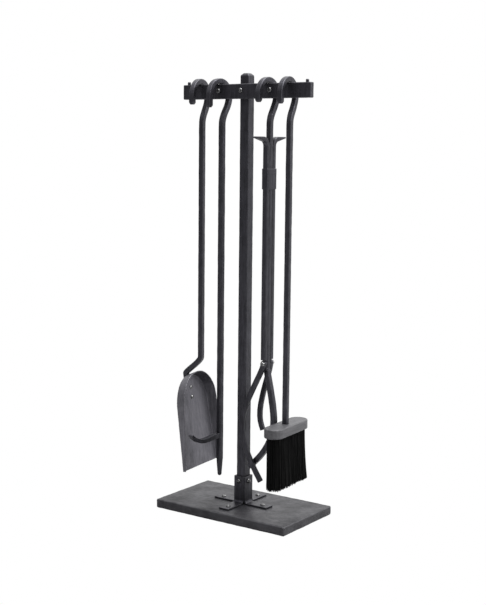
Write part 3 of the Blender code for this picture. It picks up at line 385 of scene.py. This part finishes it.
def wrought_set(prefix):
    for node in WROUGHT:
        if node.startswith(prefix):
            wrought_piece(node)


def dome_tree():
    """Geometry nodes: a dome head on a shank at each point, turned by the point's own rotation."""
    old = bpy.data.node_groups.get("dome_fasteners")
    if old:
        return old
    tree = bpy.data.node_groups.new("dome_fasteners", "GeometryNodeTree")
    group_sockets(tree, [("Geometry", "NodeSocketGeometry", None), ("Head Radius", "NodeSocketFloat", 0.0045),
                         ("Head Height", "NodeSocketFloat", 0.003), ("Shank Radius", "NodeSocketFloat", 0.0025),
                         ("Shank Length", "NodeSocketFloat", 0.01), ("Material", "NodeSocketMaterial", None)],
                  [("Geometry", "NodeSocketGeometry")])
    source = add_node(tree, "NodeGroupInput", (-1200, 0))
    result = add_node(tree, "NodeGroupOutput", (900, 0))
    rim = add_node(tree, "ShaderNodeMath", (-1000, 260), operation="MULTIPLY", sockets={
        0: source.outputs["Head Height"], 1: HEAD_RIM_SHARE})
    head = add_node(tree, "GeometryNodeMeshCylinder", (-800, 300), fill_type="TRIANGLE_FAN", sockets={
        "Vertices": 28, "Side Segments": 1, "Fill Segments": 8,
        "Radius": source.outputs["Head Radius"], "Depth": rim.outputs[0]})
    where = add_node(tree, "GeometryNodeInputPosition", (-1000, -60))
    parts = add_node(tree, "ShaderNodeSeparateXYZ", (-820, -60), sockets={0: where.outputs[0]})
    flat = add_node(tree, "ShaderNodeCombineXYZ", (-640, -60), sockets={0: parts.outputs[0], 1: parts.outputs[1]})
    reach = add_node(tree, "ShaderNodeVectorMath", (-460, -60), operation="LENGTH", sockets={0: flat.outputs[0]})
    share = add_node(tree, "ShaderNodeMath", (-280, -60), operation="DIVIDE", sockets={
        0: reach.outputs["Value"], 1: source.outputs["Head Radius"]})
    square = add_node(tree, "ShaderNodeMath", (-100, -60), operation="POWER", sockets={0: share.outputs[0], 1: 2.0})
    arc = add_node(tree, "ShaderNodeMath", (60, -60), operation="SUBTRACT", use_clamp=True, sockets={
        0: 1.0, 1: square.outputs[0]})
    dome = add_node(tree, "ShaderNodeMath", (220, -60), operation="SQRT", sockets={0: arc.outputs[0]})
    left = add_node(tree, "ShaderNodeMath", (60, -240), operation="SUBTRACT", sockets={
        0: source.outputs["Head Height"], 1: rim.outputs[0]})
    lift = add_node(tree, "ShaderNodeMath", (380, -60), operation="MULTIPLY", sockets={
        0: dome.outputs[0], 1: left.outputs[0]})
    rise = add_node(tree, "ShaderNodeCombineXYZ", (540, -60), sockets={2: lift.outputs[0]})
    is_top = add_node(tree, "FunctionNodeCompare", (220, 120), data_type="FLOAT", operation="GREATER_THAN", sockets={
        0: parts.outputs[2], 1: 0.0})
    domed = add_node(tree, "GeometryNodeSetPosition", (-500, 300), sockets={
        "Geometry": head.outputs["Mesh"], "Selection": is_top.outputs[0], "Offset": rise.outputs[0]})
    up = add_node(tree, "ShaderNodeMath", (-500, 460), operation="MULTIPLY", sockets={0: rim.outputs[0], 1: 0.5})
    up_by = add_node(tree, "ShaderNodeCombineXYZ", (-340, 460), sockets={2: up.outputs[0]})
    seated = add_node(tree, "GeometryNodeTransform", (-280, 300), sockets={
        "Geometry": domed.outputs[0], "Translation": up_by.outputs[0]})
    shank = add_node(tree, "GeometryNodeMeshCylinder", (-800, 640), sockets={
        "Vertices": 20, "Radius": source.outputs["Shank Radius"], "Depth": source.outputs["Shank Length"]})
    down = add_node(tree, "ShaderNodeMath", (-620, 640), operation="MULTIPLY", sockets={
        0: source.outputs["Shank Length"], 1: -0.5})
    down_by = add_node(tree, "ShaderNodeCombineXYZ", (-460, 640), sockets={2: down.outputs[0]})
    sunk = add_node(tree, "GeometryNodeTransform", (-280, 560), sockets={
        "Geometry": shank.outputs["Mesh"], "Translation": down_by.outputs[0]})
    whole = add_node(tree, "GeometryNodeJoinGeometry", (-60, 400))
    tree.links.new(sunk.outputs[0], whole.inputs[0])
    tree.links.new(seated.outputs[0], whole.inputs[0])
    facing = add_node(tree, "GeometryNodeInputNamedAttribute", (-60, 620), data_type="FLOAT_VECTOR",
                      sockets={0: "facing"})
    turn = add_node(tree, "FunctionNodeAlignRotationToVector", (140, 620), axis="Z", sockets={
        "Vector": facing.outputs[0]})
    placed = add_node(tree, "GeometryNodeInstanceOnPoints", (320, 400), sockets={
        "Points": source.outputs["Geometry"], "Instance": whole.outputs[0], "Rotation": turn.outputs[0]})
    real = add_node(tree, "GeometryNodeRealizeInstances", (500, 400), sockets={0: placed.outputs[0]})
    painted = add_node(tree, "GeometryNodeSetMaterial", (680, 400), sockets={
        "Geometry": real.outputs[0], "Material": source.outputs["Material"]})
    tree.links.new(painted.outputs[0], result.inputs[0])
    return tree


def tree_inputs(modifier, values):
    """Sets a Geometry Nodes modifier's inputs by their socket identifiers."""
    for item in modifier.node_group.interface.items_tree:
        if item.item_type == "SOCKET" and item.in_out == "INPUT" and item.name in values:
            modifier[item.identifier] = values[item.name]


def dome_fasteners(name, body, nodes, slot="hardware"):
    """One piece that stands for several dome-head fasteners of the same size."""
    points, ways = [], []
    for node, facing in nodes.items():
        low, high = (Vector(corner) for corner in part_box(node))
        way = Vector(facing).normalized()
        middle = (low + high) / 2
        extent = sum(abs(way[axis]) * (high[axis] - low[axis]) for axis in range(3)) / 2
        points.append(middle + way * extent)
        ways.append(way)
    first, way = next(iter(nodes)), ways[0]
    low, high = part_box(first)
    sizes = [high[axis] - low[axis] for axis in range(3)]
    length = sum(abs(way[axis]) * sizes[axis] for axis in range(3))
    head_radius = max(size for axis, size in enumerate(sizes) if abs(way[axis]) < 0.5) / 2
    head_height = head_radius * HEAD_HEIGHT_SHARE
    mesh = bpy.data.meshes.new(name)
    mesh.from_pydata([point - way * head_height for point, way in zip(points, ways)], [], [])
    facing = mesh.attributes.new("facing", "FLOAT_VECTOR", "POINT")
    facing.data.foreach_set("vector", [number for way in ways for number in way])
    piece = show(name, mesh)
    modifier = piece.modifiers.new("fasteners", "NODES")
    modifier.node_group = dome_tree()
    tree_inputs(modifier, {"Head Radius": head_radius, "Head Height": head_height,
                           "Shank Radius": head_radius * SHANK_SHARE, "Shank Length": length - head_height,
                           "Material": finish_for(slot)})
    settle(piece)
    piece.data.shade_smooth()
    piece.data.set_sharp_from_angle(angle=HEAD_SHARP_ANGLE)
    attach(piece, body)
    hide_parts(*nodes)
    return piece


def bristle_tree():
    """Geometry nodes: thin fibres under a flat patch, bending together in loose clumps."""
    tree = bpy.data.node_groups.new("bristle_patch", "GeometryNodeTree")
    group_sockets(tree, [("Geometry", "NodeSocketGeometry", None), ("Density", "NodeSocketFloat", 100000.0),
                         ("Length", "NodeSocketFloat", 0.09), ("Thickness", "NodeSocketFloat", 0.0004),
                         ("Clump", "NodeSocketFloat", 0.003), ("Lean", "NodeSocketVector", (0, 0, 0)),
                         ("Flare", "NodeSocketFloat", 0.05),
                         ("Seed", "NodeSocketInt", 7), ("Material", "NodeSocketMaterial", None)],
                  [("Geometry", "NodeSocketGeometry")])
    source = add_node(tree, "NodeGroupInput", (-1200, 0))
    result = add_node(tree, "NodeGroupOutput", (1300, 0))
    roots = add_node(tree, "GeometryNodeDistributePointsOnFaces", (-900, 200), sockets={
        "Mesh": source.outputs["Geometry"], "Density": source.outputs["Density"], "Seed": source.outputs["Seed"]})
    line = add_node(tree, "GeometryNodeCurvePrimitiveLine", (-900, -100), sockets={"End": (0, 0, -1.0)})
    steps = add_node(tree, "GeometryNodeResampleCurve", (-700, -100), sockets={"Curve": line.outputs[0], "Count": 6})
    ring = add_node(tree, "GeometryNodeCurvePrimitiveCircle", (-700, -300), sockets={
        "Resolution": 3, "Radius": source.outputs["Thickness"]})
    fibre = add_node(tree, "GeometryNodeCurveToMesh", (-480, -160), sockets={
        "Curve": steps.outputs[0], "Profile Curve": ring.outputs[0], "Fill Caps": True})
    ragged = add_node(tree, "FunctionNodeRandomValue", (-900, -500), data_type="FLOAT", sockets={
        2: 0.93, 3: 1.01, "Seed": source.outputs["Seed"]})
    tall = add_node(tree, "ShaderNodeMath", (-700, -500), operation="MULTIPLY", sockets={
        0: ragged.outputs[1], 1: source.outputs["Length"]})
    size = add_node(tree, "ShaderNodeCombineXYZ", (-500, -500), sockets={0: 1.0, 1: 1.0, 2: tall.outputs[0]})
    spin = add_node(tree, "FunctionNodeRandomValue", (-700, -700), data_type="FLOAT_VECTOR", sockets={
        0: (-0.012, -0.012, 0.0), 1: (0.012, 0.012, 6.28), "Seed": source.outputs["Seed"]})
    placed = add_node(tree, "GeometryNodeInstanceOnPoints", (-240, 100), sockets={
        "Points": roots.outputs["Points"], "Instance": fibre.outputs[0], "Rotation": spin.outputs[0],
        "Scale": size.outputs[0]})
    real = add_node(tree, "GeometryNodeRealizeInstances", (-40, 100), sockets={0: placed.outputs[0]})
    where = add_node(tree, "GeometryNodeInputPosition", (-240, -300))
    parts = add_node(tree, "ShaderNodeSeparateXYZ", (-60, -420), sockets={0: where.outputs[0]})
    share = add_node(tree, "ShaderNodeMath", (120, -420), operation="DIVIDE", sockets={
        0: parts.outputs[2], 1: source.outputs["Length"]})
    bend = add_node(tree, "ShaderNodeMath", (280, -420), operation="POWER", sockets={0: share.outputs[0], 1: 2.0})
    flat = add_node(tree, "ShaderNodeCombineXYZ", (120, -240), sockets={0: parts.outputs[0], 1: parts.outputs[1]})
    clumps = add_node(tree, "ShaderNodeTexNoise", (280, -240), noise_dimensions="3D", sockets={
        "Vector": flat.outputs[0], "Scale": 95.0, "Detail": 2.0})
    centred = add_node(tree, "ShaderNodeVectorMath", (460, -240), operation="SUBTRACT", sockets={
        0: clumps.outputs["Color"], 1: (0.5, 0.5, 0.5)})
    level = add_node(tree, "ShaderNodeVectorMath", (620, -240), operation="MULTIPLY", sockets={
        0: centred.outputs[0], 1: (2.0, 2.0, 0.0)})
    sway = add_node(tree, "ShaderNodeVectorMath", (780, -240), operation="SCALE", sockets={
        0: level.outputs[0], "Scale": source.outputs["Clump"]})
    both = add_node(tree, "ShaderNodeVectorMath", (780, -420), operation="ADD", sockets={
        0: sway.outputs[0], 1: source.outputs["Lean"]})
    spread = add_node(tree, "ShaderNodeVectorMath", (620, -560), operation="SCALE", sockets={
        0: flat.outputs[0], "Scale": source.outputs["Flare"]})
    all_ways = add_node(tree, "ShaderNodeVectorMath", (860, -500), operation="ADD", sockets={
        0: both.outputs[0], 1: spread.outputs[0]})
    offset = add_node(tree, "ShaderNodeVectorMath", (940, -300), operation="SCALE", sockets={
        0: all_ways.outputs[0], "Scale": bend.outputs[0]})
    combed = add_node(tree, "GeometryNodeSetPosition", (960, 60), sockets={
        "Geometry": real.outputs[0], "Offset": offset.outputs[0]})
    painted = add_node(tree, "GeometryNodeSetMaterial", (1130, 60), sockets={
        "Geometry": combed.outputs[0], "Material": source.outputs["Material"]})
    tree.links.new(painted.outputs[0], result.inputs[0])
    return tree


def rounded_patch(name, length, width):
    """A flat stadium facing down, its length along Y."""
    shape = bmesh.new()
    radius = width / 2
    reach = length / 2 - radius
    ring = []
    for end in (1, -1):
        for step in range(17):
            angle = math.pi * step / 16 + (0 if end > 0 else math.pi)
            ring.append(shape.verts.new((radius * math.cos(angle), end * reach + radius * math.sin(angle), 0)))
    shape.faces.new(ring)
    bmesh.ops.triangulate(shape, faces=shape.faces)
    mesh = bpy.data.meshes.new(name)
    shape.to_mesh(mesh)
    shape.free()
    return mesh


def brush_frame():
    """The brush head's own frame: its middle in plan, turned so that Y runs along the head."""
    vertices = [vertex.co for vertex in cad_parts["brush_head"].data.vertices]
    low, high = (Vector(corner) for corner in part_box("brush_head"))
    middle = (low + high) / 2
    moment_xx = sum((v.x - middle.x) ** 2 for v in vertices)
    moment_yy = sum((v.y - middle.y) ** 2 for v in vertices)
    moment_xy = sum((v.x - middle.x) * (v.y - middle.y) for v in vertices)
    turn = 0.5 * math.atan2(-2 * moment_xy, moment_yy - moment_xx)
    return middle, turn


# ---------------------------------------------------------------- settings

class HearthLooks(bpy.types.PropertyGroup):
    """Finishes and brush sizes of the tool set."""

    iron_dark: bpy.props.FloatVectorProperty(
        name="Iron, dark", description="Darker tone of the blackened iron", subtype="COLOR", size=3,
        default=(0.0135, 0.0132, 0.0166), min=0.0, max=1.0)
    iron_light: bpy.props.FloatVectorProperty(
        name="Iron, light", description="Lighter tone of the blackened iron", subtype="COLOR", size=3,
        default=(0.0385, 0.0376, 0.0460), min=0.0, max=1.0)
    iron_bare: bpy.props.FloatVectorProperty(
        name="Iron, rubbed", description="Metal that shows where edges are rubbed", subtype="COLOR", size=3,
        default=(0.12, 0.12, 0.125), min=0.0, max=1.0)
    plate_dark: bpy.props.FloatVectorProperty(
        name="Plate, dark", description="Darker tone of the base plate", subtype="COLOR", size=3,
        default=(0.0140, 0.0137, 0.0158), min=0.0, max=1.0)
    plate_light: bpy.props.FloatVectorProperty(
        name="Plate, light", description="Lighter tone of the base plate", subtype="COLOR", size=3,
        default=(0.0425, 0.0418, 0.0470), min=0.0, max=1.0)
    pan_dark: bpy.props.FloatVectorProperty(
        name="Pan, dark", description="Darker tone of the shovel pan", subtype="COLOR", size=3,
        default=(0.060, 0.0585, 0.0670), min=0.0, max=1.0)
    pan_light: bpy.props.FloatVectorProperty(
        name="Pan, light", description="Lighter tone of the shovel pan", subtype="COLOR", size=3,
        default=(0.118, 0.1150, 0.1305), min=0.0, max=1.0)
    steel: bpy.props.FloatVectorProperty(
        name="Fasteners", description="Colour of screws, bolts, nuts and rivets", subtype="COLOR", size=3,
        default=(0.055, 0.055, 0.058), min=0.0, max=1.0)
    wood_dark: bpy.props.FloatVectorProperty(
        name="Wood, dark", description="Darker grain of the brush head", subtype="COLOR", size=3,
        default=(0.0165, 0.0161, 0.0184), min=0.0, max=1.0)
    wood_light: bpy.props.FloatVectorProperty(
        name="Wood, light", description="Lighter grain of the brush head", subtype="COLOR", size=3,
        default=(0.0400, 0.0393, 0.0440), min=0.0, max=1.0)
    bristle: bpy.props.FloatVectorProperty(
        name="Bristle", description="Colour of the brush's fibres", subtype="COLOR", size=3,
        default=(0.0012, 0.0012, 0.0013), min=0.0, max=1.0)
    bristle_density: bpy.props.FloatProperty(
        name="Bristle density", description="Fibres per square metre of the head", default=1500000.0, min=1000.0)
    bristle_thickness: bpy.props.FloatProperty(
        name="Bristle thickness", description="Radius of one fibre", default=0.00058, unit="LENGTH", min=0.0001)
    bristle_clump: bpy.props.FloatProperty(
        name="Clumping", description="How far the fibres' tips gather into clumps", default=0.0018, unit="LENGTH")
    bristle_inset: bpy.props.FloatProperty(
        name="Bristle inset", description="From the head's ends to the outermost fibres", default=0.0055,
        unit="LENGTH")
    bristle_width: bpy.props.FloatProperty(
        name="Bristle width", description="Width of the row of fibres", default=0.0255, unit="LENGTH")
    bristle_lean: bpy.props.FloatProperty(
        name="Bristle lean", description="How far the tips lean along the head", default=0.0050, unit="LENGTH")
    bristle_flare: bpy.props.FloatProperty(
        name="Bristle flare", description="How much wider the block is at its tips, as a share", default=0.07)


class HearthStudio(bpy.types.PropertyGroup):
    """The studio round the tool set."""

    floor_size: bpy.props.FloatProperty(
        name="Floor size", description="Width of the pale floor", default=14.0, unit="LENGTH", min=2.0)
    floor_tone: bpy.props.FloatProperty(
        name="Floor tone", description="How much light the pale floor throws back", default=0.35, min=0.0, max=1.0)
    shade_side: bpy.props.FloatProperty(
        name="Shade side", description="Strength of the light from the front left", default=0.30, min=0.0)
    light_side: bpy.props.FloatProperty(
        name="Light side", description="Strength of the light from the back right", default=1.2, min=0.0)
    light_above: bpy.props.FloatProperty(
        name="Light above", description="Strength added overhead", default=2.1, min=0.0)
    key_power: bpy.props.FloatProperty(
        name="Key light", description="Power of the large light at the right", default=70.0, min=0.0)
    top_power: bpy.props.FloatProperty(
        name="Top light", description="Power of the light overhead", default=110.0, min=0.0)


# ---------------------------------------------------------------- pieces

class HEARTH_OT_stand(bpy.types.Operator):
    """Forge the base plate, post, crossbar, arms, brackets and stop pins."""

    bl_idname = "hearth.stand"
    bl_label = "Stand"

    def execute(self, context):
        for node, facts in WROUGHT.items():
            if facts[0] == "stand":
                wrought_piece(node)
        return {"FINISHED"}


class HEARTH_OT_fasteners(bpy.types.Operator):
    """Make the dome-head screws and bolts, and finish the nuts, rivets and pivot."""

    bl_idname = "hearth.fasteners"
    bl_label = "Fasteners"

    def execute(self, context):
        for name, (body, nodes) in FASTENERS.items():
            dome_fasteners(name, body, nodes)
        for node in PLAIN_HARDWARE:
            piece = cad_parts[node]
            piece.data.materials.clear()
            piece.data.materials.append(finish_for("hardware"))
        return {"FINISHED"}


class HEARTH_OT_shovel(bpy.types.Operator):
    """Forge the shovel's handle and pan."""

    bl_idname = "hearth.shovel"
    bl_label = "Shovel"

    def execute(self, context):
        wrought_set("shovel")
        return {"FINISHED"}


class HEARTH_OT_poker(bpy.types.Operator):
    """Forge the poker's shaft and barb."""

    bl_idname = "hearth.poker"
    bl_label = "Poker"

    def execute(self, context):
        wrought_set("poker")
        return {"FINISHED"}


class HEARTH_OT_tongs(bpy.types.Operator):
    """Forge the tongs' rod, grips, collar and claws."""

    bl_idname = "hearth.tongs"
    bl_label = "Tongs"

    def execute(self, context):
        wrought_set("tongs")
        return {"FINISHED"}


class HEARTH_OT_brush(bpy.types.Operator):
    """Make the brush: forged handle, stained head, and bristles."""

    bl_idname = "hearth.brush"
    bl_label = "Brush"

    def execute(self, context):
        wrought_set("brush")
        look = context.scene.hearth_looks
        middle, turn = brush_frame()
        low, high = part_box("brush_bristles")
        head_low, head_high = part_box("brush_head")
        length = head_high[1] - head_low[1] - 2 * look.bristle_inset
        width = look.bristle_width
        piece = show("bristle_fibres", rounded_patch("bristle_fibres", length, width))
        modifier = piece.modifiers.new("fibres", "NODES")
        modifier.node_group = bristle_tree()
        tree_inputs(modifier, {
            "Density": look.bristle_density * 1.0,
            "Length": high[2] - low[2], "Thickness": look.bristle_thickness, "Clump": look.bristle_clump,
            "Lean": (0.0, look.bristle_lean, 0.0), "Flare": look.bristle_flare, "Seed": BRISTLE_SEED,
            "Material": finish_for("bristles")})
        settle(piece)
        place = Matrix.Translation((middle.x, middle.y, high[2])) @ Matrix.Rotation(turn, 4, "Z")
        piece.data.transform(place)
        piece.data.shade_smooth()
        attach(piece, "brush")
        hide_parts("brush_bristles")
        return {"FINISHED"}


class HEARTH_OT_stage(bpy.types.Operator):
    """Set up the pale floor, the soft lights and the camera."""

    bl_idname = "hearth.stage"
    bl_label = "Studio"

    def execute(self, context):
        studio = context.scene.hearth_studio
        self.make_floor(studio)
        self.make_world(context.scene, studio)
        self.make_light("key_light", *KEY_LIGHT, studio.key_power)
        self.make_light("top_light", *TOP_LIGHT, studio.top_power)
        self.make_camera(context.scene)
        return {"FINISHED"}

    def make_floor(self, studio):
        half = studio.floor_size / 2
        mesh = bpy.data.meshes.new("floor")
        mesh.from_pydata([(-half, -half, 0), (half, -half, 0), (half, half, 0), (-half, half, 0)], [],
                         [(0, 1, 2, 3)])
        floor = show("floor", mesh)
        floor.location.z = -FLOOR_DROP
        material, tree, shader = fresh_material("pale_floor")
        tone = studio.floor_tone
        shader.inputs["Base Color"].default_value = (tone, tone, tone, 1)
        shader.inputs["Roughness"].default_value = 0.9
        white = add_node(tree, "ShaderNodeEmission", (600, -400), sockets={"Color": (1, 1, 1, 1), "Strength": 1.0})
        path = add_node(tree, "ShaderNodeLightPath", (600, 400))
        mix = add_node(tree, "ShaderNodeMixShader", (800, -100), sockets={
            0: path.outputs["Is Camera Ray"], 1: shader.outputs[0], 2: white.outputs[0]})
        output = next(node for node in tree.nodes if node.type == "OUTPUT_MATERIAL")
        tree.links.new(mix.outputs[0], output.inputs[0])
        mesh.materials.append(material)

    def make_world(self, scene, studio):
        """A white backdrop whose light comes mostly from the right and above."""
        world = bpy.data.worlds.new("studio_air")
        world.use_nodes = True
        tree = world.node_tree
        for node in list(tree.nodes):
            tree.nodes.remove(node)
        output = add_node(tree, "ShaderNodeOutputWorld", (800, 0))
        coords = add_node(tree, "ShaderNodeTexCoord", (-800, 0))
        parts = add_node(tree, "ShaderNodeSeparateXYZ", (-600, 0), sockets={0: coords.outputs["Generated"]})
        towards = add_node(tree, "ShaderNodeVectorMath", (-600, 200), operation="DOT_PRODUCT", sockets={
            0: coords.outputs["Generated"], 1: BRIGHT_SIDE})
        side = add_node(tree, "ShaderNodeMapRange", (-400, 160), sockets={
            0: towards.outputs["Value"], 1: -0.35, 2: 0.75, 3: studio.shade_side, 4: studio.light_side})
        above = add_node(tree, "ShaderNodeMapRange", (-400, -120), sockets={
            0: parts.outputs[2], 1: 0.1, 2: 0.9, 3: 0.0, 4: studio.light_above})
        total = add_node(tree, "ShaderNodeMath", (-180, 40), operation="ADD", sockets={
            0: side.outputs[0], 1: above.outputs[0]})
        lit = add_node(tree, "ShaderNodeBackground", (100, 120), sockets={
            "Color": (1, 1, 1, 1), "Strength": total.outputs[0]})
        seen = add_node(tree, "ShaderNodeBackground", (100, -80), sockets={
            "Color": (1, 1, 1, 1), "Strength": 1.0})
        path = add_node(tree, "ShaderNodeLightPath", (100, 400))
        mix = add_node(tree, "ShaderNodeMixShader", (400, 40), sockets={
            0: path.outputs["Is Camera Ray"], 1: lit.outputs[0], 2: seen.outputs[0]})
        tree.links.new(mix.outputs[0], output.inputs[0])
        scene.world = world
        scene.view_settings.view_transform = "Standard"

    def make_light(self, name, place, aim, size, power):
        data = bpy.data.lights.new(name, "AREA")
        data.shape = "DISK"
        data.size = size
        data.energy = power
        light = bpy.data.objects.new(name, data)
        light.location = place
        light.rotation_euler = (Vector(aim) - Vector(place)).to_track_quat("-Z", "Y").to_euler()
        bpy.context.scene.collection.objects.link(light)

    def make_camera(self, scene):
        """A long lens, to the right of the front and a little above the crossbar's middle height."""
        data = bpy.data.cameras.new("camera")
        data.sensor_fit = "VERTICAL"
        data.sensor_height = SENSOR_HEIGHT
        data.lens = CAMERA_LENS
        turn, pitch, roll = (math.radians(angle) for angle in (CAMERA_TURN, CAMERA_PITCH, CAMERA_ROLL))
        camera = bpy.data.objects.new("camera", data)
        aim = (Matrix.Rotation(turn, 4, "Z") @ Matrix.Rotation(math.pi / 2 - pitch, 4, "X")
               @ Matrix.Rotation(roll, 4, "Z"))
        camera.matrix_world = Matrix.Translation(CAMERA_PLACE) @ aim
        scene.collection.objects.link(camera)
        scene.camera = camera


STEPS = (HEARTH_OT_stand, HEARTH_OT_fasteners, HEARTH_OT_shovel, HEARTH_OT_poker, HEARTH_OT_tongs,
         HEARTH_OT_brush, HEARTH_OT_stage)


class HEARTH_PT_panel(bpy.types.Panel):
    """The tool set's settings and steps in the 3D view's sidebar."""

    bl_idname = "HEARTH_PT_panel"
    bl_label = "Fireplace tool set"
    bl_space_type = "VIEW_3D"
    bl_region_type = "UI"
    bl_category = "Hearth"

    def draw(self, context):
        layout = self.layout
        for group in (context.scene.hearth_looks, context.scene.hearth_studio):
            box = layout.box()
            for name in group.__annotations__:
                box.prop(group, name)
        for step in STEPS:
            layout.operator(step.bl_idname)


CLASSES = (HearthLooks, HearthStudio, *STEPS, HEARTH_PT_panel)


def register():
    for kind in CLASSES:
        bpy.utils.register_class(kind)
    bpy.types.Scene.hearth_looks = bpy.props.PointerProperty(type=HearthLooks)
    bpy.types.Scene.hearth_studio = bpy.props.PointerProperty(type=HearthStudio)


def unregister():
    del bpy.types.Scene.hearth_studio
    del bpy.types.Scene.hearth_looks
    for kind in reversed(CLASSES):
        bpy.utils.unregister_class(kind)


def main():
    register()
    for step in STEPS:
        group, name = step.bl_idname.split(".")
        getattr(getattr(bpy.ops, group), name)()


if __name__ == "__main__":
    main()
